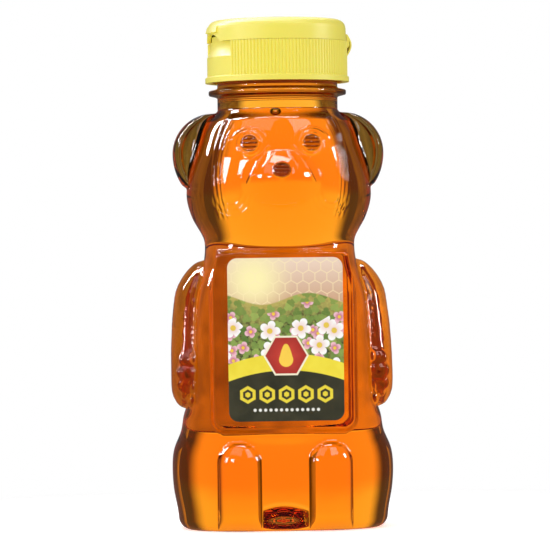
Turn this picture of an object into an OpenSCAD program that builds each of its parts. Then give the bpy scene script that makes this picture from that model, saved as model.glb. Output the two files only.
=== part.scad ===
// Honey bear bottle: a bear-shaped squeeze bottle with honey, a label and a flip-top screw cap.
// Millimetres. Origin on the table under the middle of the base, +Z up, the bear faces -Y.

/* [Bear heights] */
// Height of the bear from the table to the root of the neck
bear_h = 120.8; // [120.4:0.1:126]
// Height of the widest part of the hips
hip_z = 18; // [16:0.5:20]
// Height of the waist between the legs and the arms
waist_z = 32.6; // [31:0.2:34]
// Height of the middle of the belly
belly_z = 53; // [50:1:56]
// Height of the collar between the body and the head
collar_z = 81; // [80:0.1:82]
// Height of the widest part of the cheeks
cheek_z = 96; // [94:0.5:98]
// Height of the temples, level with the eyes
temple_z = 110.6; // [109:0.1:112]

/* [Bear widths and depths] */
// Width across the hips
hip_w = 64; // [60:0.5:68]
// Width across the waist
waist_w = 56.8; // [54:0.2:60]
// Width across the belly without the arms
belly_w = 52; // [49:0.2:54]
// Width across the collar
collar_w = 43.2; // [42:0.2:45]
// Width across the cheeks
cheek_w = 53.4; // [51:0.2:56]
// Width across the temples
temple_w = 47; // [45:0.2:50]
// Depth at the hips
hip_d = 46; // [44:0.5:48]
// Depth at the belly without the panels
belly_d = 45; // [43:0.2:46]
// Depth at the collar
collar_d = 41; // [39:0.2:42]
// Depth at the cheeks
cheek_d = 46; // [44:0.5:48]

/* [Bear features] */
// Radius of an ear
ear_r = 11.7; // [10.5:0.1:12]
// Distance from the bear's middle plane to the middle of an ear
ear_x = 18.9; // [18:0.1:20]
// Height of the middle of an ear
ear_z = 108.3; // [107:0.1:108.6]
// Thickness of an ear, from front to back
ear_t = 11; // [9:0.5:13]
// How deep the front of an ear is dished
ear_dish = 1.4; // [0.5:0.1:2]
// How far the arms stand out from the belly
arm_out = 6; // [5:0.1:7]
// Thickness of an arm, from front to back
arm_t = 19; // [17:0.5:20]
// Spacing of the fingers on a paw
finger_pitch = 3.9; // [3.5:0.1:4.3]
// How far the legs stand out from the hips
leg_out = 3.4; // [2.4:0.1:4]
// Width of a leg
leg_w = 12.6; // [11:0.2:14]
// Distance between the middles of the legs
leg_gap = 26; // [24:0.5:28]
// How far the muzzle stands out from the face
muzzle_out = 4.8; // [3.5:0.1:6]
// Width of the muzzle
muzzle_w = 23; // [20:0.5:25]
// Distance between the middles of the eyes
eye_gap = 17.8; // [16:0.2:19]
// Diameter of an eye
eye_d = 6.8; // [6:0.1:7.4]
// Width of the nose
nose_w = 5.6; // [4.8:0.1:6.2]

/* [Label panel] */
// Width of the flat panels on the belly and the back
panel_w = 42.2; // [40:0.2:43]
// Height of the panels' lower edge
panel_z0 = 28; // [27:0.1:29]
// Height of the panels' upper edge
panel_z1 = 80.4; // [79:0.1:80.6]
// Distance from one panel's face to the other
panel_d = 47; // [46:0.2:49]
// Corner radius of the panels
panel_r = 4.2; // [3:0.1:6]
// Width of the rounded edge round the panels
panel_edge = 1.3; // [1:0.1:2]
// Width of the label
label_w = 32.8; // [28:0.2:35]
// Height of the label
label_h = 46.4; // [40:0.2:48]
// Corner radius of the label
label_r = 2.8; // [1:0.1:5]
// Thickness of the label
label_t = 0.12; // [0.08:0.01:0.3]
// How far the label sits to the right of the panel's middle
label_aside = 0.6; // [-1:0.1:1]
// How far the label sits above the panel's middle
label_up = 0.5; // [-1:0.1:1]

/* [Shell] */
// Wall of the blown bottle
wall = 0.8; // [0.6:0.05:0.9]
// Radius of the heel round the base
heel_r = 3.2; // [2.6:0.1:4]
// Height of the push-up dome in the base
dome_h = 7.6; // [5:0.1:9]
// Diameter of the push-up dome
dome_d = 21; // [16:0.5:23]
// Room between the honey and the bottle's wall
honey_room = 0.1; // [0.1:0.01:0.15]

/* [Neck] */
// Outside diameter of the neck
neck_d = 34.8; // [34.4:0.1:35.1]
// Inside diameter of the neck
neck_bore = 31.4; // [30.8:0.1:31.6]
// Height of the neck from its root to the rim
neck_h = 17.9; // [17.6:0.1:20]
// Diameter of the support ring
ring_d = 39.8; // [39:0.1:41]
// Height of the support ring's underside above the root of the neck
ring_z = 4.3; // [3.4:0.1:4.6]
// Thickness of the support ring at its edge
ring_t = 1.3; // [0.9:0.1:1.4]
// Height of the honey above the root of the neck
fill_z = 10; // [8.5:0.1:10.4]

/* [Thread] */
// Rise of the thread in one turn
pitch = 4.23; // [4.1:0.01:4.4]
// Depth of the neck's thread
thread_deep = 1.15; // [0.9:0.05:1.2]
// Width of the neck's thread at its root
thread_wide = 2; // [1.7:0.1:2.1]
// Free play between the two threads
thread_play = 0.3; // [0.2:0.05:0.35]
// Angle that the neck's thread runs round
neck_thread_turn = 380; // [340:5:400]
// Angle that the cap's thread runs round
cap_thread_turn = 320; // [270:5:330]
// Height of the lower end of the neck's thread below the rim
thread_below = 7.4; // [7:0.1:7.6]

/* [Screw cap] */
// Diameter of the cap over its ribs
cap_d = 41; // [40.8:0.1:42.4]
// Height of the screw cap from its lower edge to the lid
skirt_h = 11.6; // [11.2:0.1:12]
// Thickness of the cap's deck
deck_t = 1; // [0.8:0.1:1.2]
// How far the lid's side stands in from the ribs
lid_in = 0.3; // [0.3:0.02:0.5]
// Number of grip ribs round the cap
rib_count = 126; // [90:6:150]
// Depth of the grip ribs
rib_deep = 0.28; // [0.15:0.01:0.32]
// Height of the plain band under the ribs
band_h = 1.9; // [1.2:0.1:2.4]
// How far the band stands out past the ribs
band_out = 0.35; // [0.2:0.05:0.5]
// Thickness of the inner seal
seal_t = 0.6; // [0.4:0.1:0.9]
// Inside diameter of the pouring spout
spout_bore = 6.4; // [6.2:0.1:7]
// Wall of the pouring spout
spout_wall = 1; // [0.8:0.1:1.4]
// Height of the pouring spout above the deck
spout_h = 4.6; // [4.4:0.1:4.8]
// Height of the rim that the lid closes over
snap_h = 1.6; // [1.2:0.1:2]
// Thickness of that rim
snap_wall = 1; // [0.8:0.1:1.4]
// Free room between the lid and that rim
snap_play = 0.25; // [0.2:0.05:0.35]
// Radius of the thumb scoop's round section
scoop_r = 6; // [5:0.5:7]
// Depth of the thumb scoop
scoop_deep = 1; // [0.7:0.1:1.1]
// Angle from the middle of the thumb scoop to its ends
scoop_a = 30; // [20:1:36]
// Angle that the cap has stopped at, from the bear's right-hand side
cap_clock = 17; // [0:1:40]

/* [Flip-top lid] */
// Height of the lid
lid_h = 7.1; // [7:0.1:8.4]
// Wall of the lid
lid_wall = 1.1; // [0.9:0.1:1.2]
// Radius of the lid's upper edge
lid_round = 2.6; // [2:0.1:3]
// Rise of the lid's crown over that edge
lid_crown = 0.7; // [0.3:0.1:0.9]
// Gap between the lid and the cap's deck
lid_gap = 0.1; // [0.05:0.05:0.3]
// Height of the thumb notch in the lid's lower edge
notch_h = 2.2; // [1.4:0.1:2.6]
// Width of the thumb notch
notch_w = 12; // [8:0.5:14]
// How far the thumb lip stands out over the notch
lip_out = 0.5; // [0.3:0.1:0.8]
// Depth that the lid's plug reaches into the spout
plug_deep = 1.4; // [1:0.1:1.6]
// Width of the centre strap of the hinge
strap_w = 8; // [6:0.5:9]
// Height of the centre strap of the hinge
strap_h = 6.3; // [5.6:0.1:6.8]
// How far the strap bows out from the cap
strap_bow = 1.3; // [0.9:0.1:1.6]
// Thickness of the hinge's strap and films
strap_t = 0.45; // [0.35:0.05:0.6]
// Width of each film hinge beside the strap
film_w = 2.6; // [2:0.1:3]
// Height of each film hinge
film_h = 4; // [3.2:0.1:4.6]
// Gap between the strap and each film
hinge_gap = 0.6; // [0.4:0.1:1]
// How far the hinge's middle stands out from the ribs
hinge_out = 0.35; // [0.3:0.05:0.5]

/* [Hidden] */
$fn = 96;
eps = 0.05;

// Heights and radii that follow from the sizes above.
rim_z = bear_h + neck_h;
deck_z = rim_z + seal_t + deck_t;
skirt_z = deck_z - skirt_h;
neck_r = neck_d / 2;
bore_r = neck_bore / 2;
cap_r = cap_d / 2;
socket_r = neck_r + thread_deep + thread_play;
lid_r = cap_r - lid_in;
hinge_r = cap_r + hinge_out;
plain_r = cap_r - rib_deep;
hinge_a = asin((strap_w / 2 + hinge_gap + film_w) / plain_r) + 360 / rib_count;

// The bear's sections from the base up: height, half width, half depth and squareness.
STATIONS = [
  [0, hip_w / 2 - 2.1, hip_d / 2 - 1.1, 2.9],
  [heel_r + 2, hip_w / 2 - 1.6, hip_d / 2 - 0.5, 3],
  [hip_z - 6, hip_w / 2 - 0.4, hip_d / 2, 3],
  [hip_z, hip_w / 2, hip_d / 2, 3],
  [hip_z + 5, hip_w / 2 - 0.7, hip_d / 2 - 0.5, 3],
  [waist_z - 4.5, mix(hip_w, waist_w, 0.76) / 2, mix(hip_d, belly_d, 0.6) / 2, 3],
  [waist_z, waist_w / 2, belly_d / 2, 3.6],
  [waist_z + 5, belly_w / 2 + 0.9, belly_d / 2, 4],
  [belly_z, belly_w / 2, belly_d / 2, 4.2],
  [belly_z + 14, belly_w / 2 - 1.4, belly_d / 2 - 0.2, 3.8],
  [collar_z - 5, collar_w / 2 + 0.6, collar_d / 2 + 0.9, 3.1],
  [collar_z, collar_w / 2, collar_d / 2, 2.7],
  [collar_z + 3, collar_w / 2 + 0.4, collar_d / 2 + 0.6, 2.4],
  [cheek_z - 6, cheek_w / 2 - 1.5, cheek_d / 2 - 0.7, 2.2],
  [cheek_z, cheek_w / 2, cheek_d / 2, 2.15],
  [cheek_z + 7, cheek_w / 2 - 0.9, cheek_d / 2 - 0.2, 2.1],
  [temple_z, temple_w / 2, cheek_d / 2 - 1.4, 2.1],
  [bear_h - 3.6, temple_w / 2 - 2.4, cheek_d / 2 - 3, 2.05],
  [bear_h - 1.4, neck_r + 1.1, neck_r + 0.9, 2],
  [bear_h, neck_r - eps, neck_r - eps, 2]
];
LAST = len(STATIONS) - 1;

// Steps of the skins round the bear: across half the front panel, half the back one, and round each side.
ACROSS = [7, 4];
ROUND = [7, 5];
// Steps up the bear: hips, panel, head and crown, for the outer skin and for the inner one.
OUTER = [8, 12, 16, 5];
INNER = [4, 7, 9, 3];

function bound(t) = min(1, max(0, t));
function ease(t) = let (c = bound(t)) c * c * (3 - 2 * c);
function mix(a, b, t) = a + (b - a) * t;
function dome(t) = sqrt(max(0, 1 - t * t));

// A smooth curve through the stations' values at a height.
function slope_at(i, k) =
  let (low = max(i - 1, 0), high = min(i + 1, LAST))
  (STATIONS[high][k] - STATIONS[low][k]) / (STATIONS[high][0] - STATIONS[low][0]);
function station(z, k) =
  let (
    i = min(LAST - 1, max(0, len([for (s = STATIONS) if (s[0] <= z) 1]) - 1)),
    h = STATIONS[i + 1][0] - STATIONS[i][0],
    t = bound((z - STATIONS[i][0]) / h)
  )
  STATIONS[i][k] * (1 + 2 * t) * (1 - t) * (1 - t) + slope_at(i, k) * h * t * (1 - t) * (1 - t)
  + STATIONS[i + 1][k] * t * t * (3 - 2 * t) + slope_at(i + 1, k) * h * t * t * (t - 1);

// Distance from a point to a line between two points, in one plane.
function off_line(p, a, b) =
  let (ab = b - a, t = bound(((p - a) * ab) / (ab * ab)))
  norm(p - a - t * ab);

// How far the heel's round draws the outline in at a height.
function heel_in(z) = z < heel_r ? heel_r * (1 - dome(1 - z / heel_r)) : 0;

// The skin is drawn in by the wall, and more where it meets the neck.
function draw(z, inset) = heel_in(z) + inset + (inset > 0 ? 0.6 * ease((z - bear_h + 5) / 5) : 0);

// 1 well inside the panel's round-cornered rectangle, 0 outside it.
function panel_mask(x, z, inset) =
  let (
    mid = (panel_z0 + panel_z1) / 2,
    dx = abs(x) - panel_w / 2 + inset + panel_r,
    dz = abs(z - mid) - (panel_z1 - panel_z0) / 2 + inset + panel_r,
    d = norm([max(dx, 0), max(dz, 0)]) + min(max(dx, dz), 0) - panel_r
  )
  ease(-d / panel_edge);

// The arm: from the shoulder down and forward to the paw, with four fingers on its front edge.
shoulder = [1, collar_z - 3.5 - arm_t / 2];
paw = [-5, waist_z + 2.4 + arm_t / 2];
function arm(y, z, inset) =
  let (
    r = arm_t / 2 - inset * 2,
    lobe = (arm_out - inset) * dome(bound(off_line([y, z], shoulder, paw) / r)),
    tips = [for (i = [-1.5:1.5]) norm([y - paw[0] + r - 1.5, z - paw[1] + 1 + i * finger_pitch])]
  )
  lobe + (inset > 0 ? 0 : 1.6 * dome(bound(min(tips) / (finger_pitch * 0.55))));

// The legs and the muzzle stand out from the front.
muzzle_z = temple_z - 10.4;
function leg(x, z, inset) =
  let (r = leg_w / 2 - inset, d = off_line([abs(x), z], [leg_gap / 2, 0], [leg_gap / 2, hip_z + 1.2 - 2 * inset]))
  (leg_out - inset) * dome(bound(d / r)) * ease((z + 1) / (heel_r + 2));
function muzzle(x, z, inset) =
  let (m = norm([x / (muzzle_w / 2 - 1.6 * inset), (z - muzzle_z) / (muzzle_w * 0.37 - 1.6 * inset)]))
  (muzzle_out - 0.7 * inset) * pow(bound(1 - m * m), 0.7);

// Half depth of the front or back at a place across it.
function half_depth(x, z, inset) =
  let (a = station(z, 1) - draw(z, inset), d = station(z, 2) - draw(z, inset), n = station(z, 3))
  d * pow(max(0, 1 - pow(abs(x) / a, n)), 1 / n);
function front_y(x, z, inset = 0) =
  -mix(half_depth(x, z, inset), panel_d / 2 - inset, panel_mask(x, z, inset))
  - leg(x, z, inset) - muzzle(x, z, inset);
function back_y(x, z, inset) = mix(half_depth(x, z, inset), panel_d / 2 - inset, panel_mask(x, z, inset));

// How far an ear reaches out at a height, and how much of the side it takes up there. It is longer below its middle.
ear_y = 1;
ear_edge = 2;
ear_long = 1.2;
function ear_reach(z, inset) =
  let (r = ear_r - 1.2 * inset, t = (z - ear_z) / (z > ear_z ? r : ear_long * r))
  ear_x + r * dome(bound(abs(t)));
function ear_share(z) = z < ear_z + ear_r ? ease((ear_reach(z, 0) - station(z, 1)) / 1.5) : 0;

// A point round the side, from the panel's edge (f = 0) to the outermost point (f = 1), toward the front or the back.
function side_point(f, face, z, inset) =
  let (
    a = station(z, 1) - draw(z, inset),
    d = station(z, 2) - draw(z, inset),
    n = station(z, 3),
    phi_edge = asin(pow(edge_x(z, inset) / a, n / 2)),
    phi = mix(phi_edge, 90, f),
    plain = [a * pow(sin(phi), 2 / n), face * d * pow(cos(phi), 2 / n)],
    reach = ear_reach(z, inset),
    half = ear_t / 2 * mix(0.6, 1, dome((z - ear_z) / ear_r)) - inset - (face < 0 && inset > 0 ? ear_dish : 0),
    root = half + face * ear_y,
    phi_root = acos(pow(bound(root / d), n / 2)),
    x_root = a * pow(sin(phi_root), 2 / n),
    phi_head = mix(phi_edge, phi_root, f / 0.4),
    u = (f - 0.4) / 0.4,
    turn = 90 * (f - 0.8) / 0.2,
    hollow = face < 0 && inset == 0 ? ear_dish * sin(180 * bound(u)) : 0,
    eared = f <= 0.4 ? [a * pow(sin(phi_head), 2 / n), face * d * pow(cos(phi_head), 2 / n)]
      : f <= 0.8 ? [mix(x_root, reach - ear_edge, u), face * (root - hollow)]
      : [reach - ear_edge + ear_edge * sin(turn), ear_y + face * half * cos(turn)],
    p = mix(plain, eared, ear_share(z)),
    limb = arm(p[1], z, inset) * ease((p[0] / a - 0.6) / 0.25)
  )
  p + limb * [p[0], 0.6 * p[1]] / norm(p);

// Width at which the flat part of a section ends.
function edge_x(z, inset) = min(panel_w / 2 - inset, 0.86 * (station(z, 1) - draw(z, inset)));

// One whole ring of the skin at a height, counter-clockwise seen from above.
function flat_x(j, k, z, inset) = j > k ? edge_x(z, inset) : (edge_x(z, inset) - panel_edge) * j / k;
function front_half(z, inset) = concat(
  [for (j = [0:ACROSS[0] + 1]) let (x = flat_x(j, ACROSS[0], z, inset)) [x, front_y(x, z, inset)]],
  [for (j = [1:ROUND[0]]) side_point(j / ROUND[0], -1, z, inset)]
);
function back_half(z, inset) = concat(
  [for (j = [0:ACROSS[1] + 1]) let (x = flat_x(j, ACROSS[1], z, inset)) [x, back_y(x, z, inset)]],
  [for (j = [1:ROUND[1]]) side_point(j / ROUND[1], 1, z, inset)]
);
function ring(z, inset, lift = 0) =
  let (f = front_half(z, inset), b = back_half(z, inset), nf = len(f) - 1, nb = len(b) - 1, h = max(z, lift))
  concat(
    [for (j = [0:nf - 1]) [f[j][0], f[j][1], h]],
    [for (j = [nb:-1:1]) [b[j][0], b[j][1], h]],
    [for (j = [0:nb - 1]) [-b[j][0], b[j][1], h]],
    [for (j = [nf:-1:1]) [-f[j][0], f[j][1], h]]
  );

// Heights of the rings, close together at the heel, the panels' edges and the crown.
function steps(a, b, n) = [for (i = [0:n - 1]) mix(a, b, i / n)];
function levels(n, inset) = concat(
  [for (a = [90:-30:30]) heel_r * (1 - sin(a))],
  steps(heel_r, panel_z0 + inset, n[0]),
  steps(panel_z0 + inset, panel_z0 + inset + panel_edge, 1),
  steps(panel_z0 + inset + panel_edge, panel_z1 - inset - panel_edge, n[1]),
  steps(panel_z1 - inset - panel_edge, panel_z1 - inset, 1),
  steps(panel_z1 - inset, bear_h - 7, n[2]),
  steps(bear_h - 7, bear_h, n[3]),
  [bear_h - (inset > 0 ? 2 * eps : 0)]
);

// A ring's own directions at another radius or share of its size.
function round_ring(edge, r, z) = [for (p = edge) let (s = r / norm([p[0], p[1]])) [p[0] * s, p[1] * s, z]];
function share_ring(edge, s, z) = [for (p = edge) [p[0] * s, p[1] * s, z]];

// The underside from its middle out: the push-up dome, a shallow recess and the standing edge.
recess = 0.6;
function under(inset) =
  let (edge = ring(0, inset))
  [
    for (a = [72:-24:0]) round_ring(edge, (dome_d / 2 + inset) * cos(a), recess + inset + (dome_h - recess) * sin(a)),
    share_ring(edge, 0.82, recess + inset),
    share_ring(edge, 0.88, inset)
  ];
function skin(n, inset) = concat(under(inset), [for (z = levels(n, inset)) ring(z, inset, inset)]);

// A closed solid from rings of equal counts, with a point at each end. The diagonals mirror about the bear's middle.
// From ring number flip on they lean the other way, so that a skin has the same facets taken upward or downward.
module lofted(rings, first, last, flip = 1000) {
  n = len(rings[0]);
  m = len(rings);
  points = concat([for (r = rings) each r], [first, last]);
  walls = [
    for (i = [0:m - 2], j = [0:n - 1])
      let (k = (j + 1) % n, a = i * n + j, b = i * n + k, c = (i + 1) * n + k, d = (i + 1) * n + j)
      each ((2 * j < n) == (i < flip) ? [[a, c, b], [a, d, c]] : [[a, d, b], [b, d, c]])
  ];
  ends = [
    for (j = [0:n - 1])
      let (k = (j + 1) % n)
      each [[n * m, j, k], [(m - 1) * n + j, n * m + 1, (m - 1) * n + k]]
  ];
  polyhedron(points, concat(walls, ends));
}

// A screw thread: a tapered profile swept up a helix, thinning to nothing at both ends.
// root and crest are radii, and wide_root and wide_crest are the profile's widths there.
module thread(root, crest, wide_root, wide_crest, z, start, sweep) {
  segs = ceil(sweep / 7.5);
  fade = 20;
  sections = [
    for (i = [0:segs])
      let (
        a = start + sweep * i / segs,
        grow = max(0.12, ease(min(sweep * i / segs, sweep * (1 - i / segs)) / fade)),
        tip = mix(root, crest, grow),
        half = mix(wide_root, wide_crest, grow) / 2,
        h = z + pitch * (a - start) / 360
      )
      [
        [root * cos(a), root * sin(a), h - wide_root / 2],
        [tip * cos(a), tip * sin(a), h - half],
        [tip * cos(a), tip * sin(a), h + half],
        [root * cos(a), root * sin(a), h + wide_root / 2]
      ]
  ];
  rings = crest < root ? sections : [for (s = sections) [s[3], s[2], s[1], s[0]]];
  quads = [
    for (i = [0:segs - 1], j = [0:3])
      let (k = (j + 1) % 4)
      each [[i * 4 + j, (i + 1) * 4 + k, i * 4 + k], [i * 4 + j, (i + 1) * 4 + j, (i + 1) * 4 + k]]
  ];
  n = segs * 4;
  caps = [[0, 1, 2], [0, 2, 3], [n, n + 2, n + 1], [n, n + 3, n + 2]];
  polyhedron([for (r = rings) each r], concat(quads, caps));
}

// Places its children on the bear's face, their +Z along the outward normal.
module on_face(x, z) {
  across = front_y(x + 1, z) - front_y(x - 1, z);
  up = front_y(x, z + 1) - front_y(x, z - 1);
  translate([x, front_y(x, z), z])
    rotate([0, 0, atan(across / 2)])
    rotate([90 - atan(up / 2), 0, 0]) children();
}

// An eye: a raised ring round a domed pupil. Its flat back stays inside the wall.
sunk = 0.5;
module eye() {
  r = eye_d / 2;
  rotate_extrude($fn = 12)
    polygon([
      [0, -sunk], [r, -sunk], [r - 0.2, 0.5], [r - 0.7, 0.6], [r - 1, 0.35], [r * 0.6, 0.5], [r * 0.35, 1.1], [0, 1.3]
    ]);
}

// The nose: a low rounded button.
module nose() {
  r = nose_w / 2;
  rotate_extrude($fn = 12)
    polygon([[0, -sunk], [r, -sunk], [r, 0.3], [r * 0.85, 1.1], [r * 0.5, 1.5], [0, 1.65]]);
}

// The neck with its support ring and rounded rim.
module neck() {
  root_t = 2.4;
  translate([0, 0, bear_h])
    rotate_extrude()
      polygon([
        [bore_r, 0], [neck_r, 0], [neck_r, ring_z - (root_t - ring_t) / 2], [ring_d / 2, ring_z],
        [ring_d / 2, ring_z + ring_t], [neck_r, ring_z + ring_t + (root_t - ring_t) / 2],
        [neck_r, neck_h - 0.5], [neck_r - 0.5, neck_h], [bore_r + 0.3, neck_h], [bore_r, neck_h - 0.3]
      ]);
}

// The bottle's thread runs once round the neck, and the cap's stays half a pitch away from it.
thread_z = rim_z - thread_below;
thread_start = 33;
cap_start = 158;
thread_bed = 0.3;
module bottle() {
  shell_top = bear_h + 0.5;
  outer = skin(OUTER, 0);
  inner = skin(INNER, wall);
  shell = concat(
    outer,
    [round_ring(outer[len(outer) - 1], neck_r - eps, shell_top)],
    [round_ring(inner[len(inner) - 1], bore_r + 0.3, shell_top)],
    [for (i = [len(inner) - 1:-1:0]) inner[i]]
  );
  color("orange", 0.5)
    union() {
      lofted(shell, [0, 0, dome_h], [0, 0, dome_h + wall], len(outer) + 1);
      neck();
      neck_thread();
      for (side = [-1, 1]) on_face(side * eye_gap / 2, temple_z) eye();
      on_face(0, muzzle_z + 2.6) nose();
    }
}

module neck_thread() {
  thread(
    neck_r - thread_bed, neck_r + thread_deep, thread_wide, thread_wide * 0.4,
    thread_z, thread_start, neck_thread_turn
  );
}

// The honey follows the bottle's inner skin and ends level inside the neck.
module honey() {
  room = wall + honey_room;
  body = skin(INNER, room);
  edge = body[len(body) - 1];
  color("darkorange")
    lofted(
      concat(body, [round_ring(edge, bore_r - 0.15, edge[0][2]), round_ring(edge, bore_r - 0.15, bear_h + fill_z)]),
      [0, 0, dome_h + room],
      [0, 0, bear_h + fill_z]
    );
}

// The label lies flat on the front panel.
module front_label() {
  color("gold")
    translate([label_aside, -panel_d / 2, (panel_z0 + panel_z1) / 2 + label_up])
      rotate([90, 0, 0]) linear_extrude(label_t) label_outline();
}
module label_outline() {
  straight_w = label_w - 2 * label_r;
  straight_h = label_h - 2 * label_r;
  square([label_w, straight_h], center = true);
  square([straight_w, label_h], center = true);
  for (x = [-1, 1], z = [-1, 1]) translate([x * straight_w / 2, z * straight_h / 2]) circle(label_r);
}

// A foam and foil disc on the rim of the neck.
module inner_seal() {
  color("whitesmoke")
    translate([0, 0, rim_z]) cylinder(h = seal_t, r = neck_r - 0.6);
}

// Outline of the grip ribs. The thumb scoop and the hinge have none.
function plain_here(a) =
  let (to_hinge = abs(((a + 180) % 360) - 180), to_scoop = abs(a - 180))
  to_hinge < hinge_a || to_scoop < scoop_a;
function rib_points() = [
  for (i = [0:rib_count - 1])
    let (
      step = 360 / rib_count,
      a = i * step,
      tip = plain_here(a) ? plain_r : cap_r
    )
    each [
      [plain_r * cos(a - step * 0.5), plain_r * sin(a - step * 0.5)],
      [tip * cos(a - step * 0.22), tip * sin(a - step * 0.22)],
      [tip * cos(a + step * 0.22), tip * sin(a + step * 0.22)]
    ]
];

// The screw cap: ribbed skirt over a plain band, deck, snap rim and pouring spout.
module cap_base() {
  color("khaki")
    union() {
      rotate([0, 0, cap_clock]) cap_body();
      cap_thread();
    }
}
module cap_body() {
  rim_r = lid_r - lid_wall - snap_play;
  spout_r = spout_bore / 2 + spout_wall;
  foot = 0.6;
  difference() {
    union() {
      translate([0, 0, skirt_z + band_h - 0.4]) linear_extrude(skirt_h - band_h + 0.4) polygon(rib_points());
      translate([0, 0, skirt_z]) rotate_extrude() band_profile();
      translate([0, 0, deck_z - eps]) cylinder(h = snap_h + eps, r = rim_r);
      translate([0, 0, deck_z - eps]) cylinder(h = spout_h + eps, r1 = spout_r + foot, r2 = spout_r);
    }
    translate([0, 0, deck_z])
      difference() {
        cylinder(h = snap_h + 1, r = rim_r - snap_wall);
        translate([0, 0, -1]) cylinder(h = spout_h + 2, r1 = spout_r + foot + 0.2, r2 = spout_r);
      }
    translate([0, 0, skirt_z - 1]) cylinder(h = skirt_h - deck_t + 1, r = socket_r);
    translate([0, 0, rim_z]) cylinder(h = 3 * spout_h, r = spout_bore / 2);
    rotate([0, 0, 180 - scoop_a])
      rotate_extrude(angle = 2 * scoop_a)
        translate([plain_r + scoop_r - scoop_deep, deck_z - 1]) circle(scoop_r);
  }
}
module band_profile() {
  in_r = socket_r - 0.4;
  out_r = cap_r + band_out;
  polygon([
    [in_r, 0], [out_r, 0], [out_r, band_h - 0.5], [plain_r - 0.1, band_h], [in_r, band_h]
  ]);
}

// The cap's thread is part of the cap, set so that it clears the neck's by the same play on both flanks.
module cap_thread() {
  crest = neck_r + thread_play;
  flank = 0.9;
  wide_crest = pitch - thread_wide - 2 * thread_play;
  start_z = thread_z + pitch * ((cap_start - thread_start) / 360 - 0.5);
  thread(socket_r + thread_bed, crest, wide_crest + flank, wide_crest, start_z, cap_start, cap_thread_turn);
}

// The flip-top lid: a low domed cover with a thumb notch, a thumb lip and a plug for the spout.
module cap_lid() {
  bottom = deck_z + lid_gap;
  edge_z = lid_h - lid_gap - lid_crown - lid_round;
  arch_r = (notch_w * notch_w / 4 + notch_h * notch_h) / (2 * notch_h);
  plug_top = lid_h - lid_gap - lid_wall;
  plug_z = spout_h - lid_gap - plug_deep;
  color("khaki")
    translate([0, 0, bottom])
      rotate([0, 0, cap_clock]) {
        difference() {
          union() {
            rotate_extrude() lid_profile(0, edge_z);
            intersection() {
              translate([0, 0, notch_h + 0.4]) cylinder(h = 1.8, r1 = lid_r + lip_out, r2 = lid_r);
              translate([-lid_r - 2, -notch_w * 0.38, 0]) cube([6, notch_w * 0.76, lid_h]);
            }
          }
          rotate_extrude() lid_profile(lid_wall, edge_z);
          translate([-lid_r - 2, 0, notch_h - arch_r]) rotate([0, 90, 0]) cylinder(h = 6, r = arch_r);
        }
        translate([0, 0, plug_z])
          rotate_extrude()
            polygon([
              [0, 0], [spout_bore / 2 - 0.6, 0], [spout_bore / 2 - 0.15, plug_deep],
              [spout_bore / 2 - 0.15, plug_top - plug_z + 0.3], [0, plug_top - plug_z + 0.3]
            ]);
      }
}

// Half section of the lid, drawn in by a wall: side, rounded edge and shallow crown.
module lid_profile(t, edge_z) {
  r = lid_r - t;
  round_r = lid_round - t;
  side_r = r - 0.15;
  polygon(concat(
    [[0, t > 0 ? -1 : 0], [r, t > 0 ? -1 : 0]],
    [for (a = [0:15:75]) [side_r - round_r + round_r * cos(a), edge_z + round_r * sin(a)]],
    [for (s = [1:-0.25:0]) [(side_r - round_r) * s, edge_z + round_r + lid_crown * (1 - s * s)]]
  ));
}

// The hinge lies over the parting line: two thin films with a bowed strap between them.
module hinge_band(width, shift, points) {
  rotate([0, 0, cap_clock])
    intersection() {
      rotate_extrude() polygon(points);
      translate([cap_r / 2, shift - width / 2, skirt_z]) cube([cap_r, width, skirt_h + lid_h]);
    }
}

// Each film is thinnest along the line that it bends on.
module hinge_films() {
  foot = plain_r + eps;
  out_r = hinge_r + strap_t / 2;
  line = 0.2;
  half = [[foot, film_h / 2], [out_r, film_h * 0.3], [out_r, line], [hinge_r + line / 2, 0]];
  band = concat(
    [for (p = half) [p[0], deck_z - p[1]]],
    [for (i = [len(half) - 2:-1:0]) [half[i][0], deck_z + half[i][1]]]
  );
  color("khaki")
    for (side = [-1, 1]) hinge_band(film_w, side * ((strap_w + film_w) / 2 + hinge_gap), band);
}

// The strap bows out from the cap and reaches further down the skirt than up the lid.
module hinge_strap() {
  low = deck_z - strap_h * 0.62;
  foot = plain_r + 2 * eps;
  front = [for (s = [0:1 / 8:1]) [foot + strap_t + strap_bow * sin(180 * s), low + strap_h * s]];
  back = [for (s = [1:-1 / 8:0]) [foot + strap_bow * sin(180 * s), low + strap_h * s]];
  color("khaki") hinge_band(strap_w, 0, concat(front, back));
}

bottle();
honey();
front_label();
inner_seal();
cap_base();
cap_lid();
hinge_strap();
hinge_films();
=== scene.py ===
# Dresses the honey bear bottle: clear moulded bear with honey, printed label and soft yellow cap.
# Lengths are written in millimetres and scaled by MM.
import math

import bmesh
import bpy
import numpy as np
from mathutils import Matrix, Vector


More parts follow.
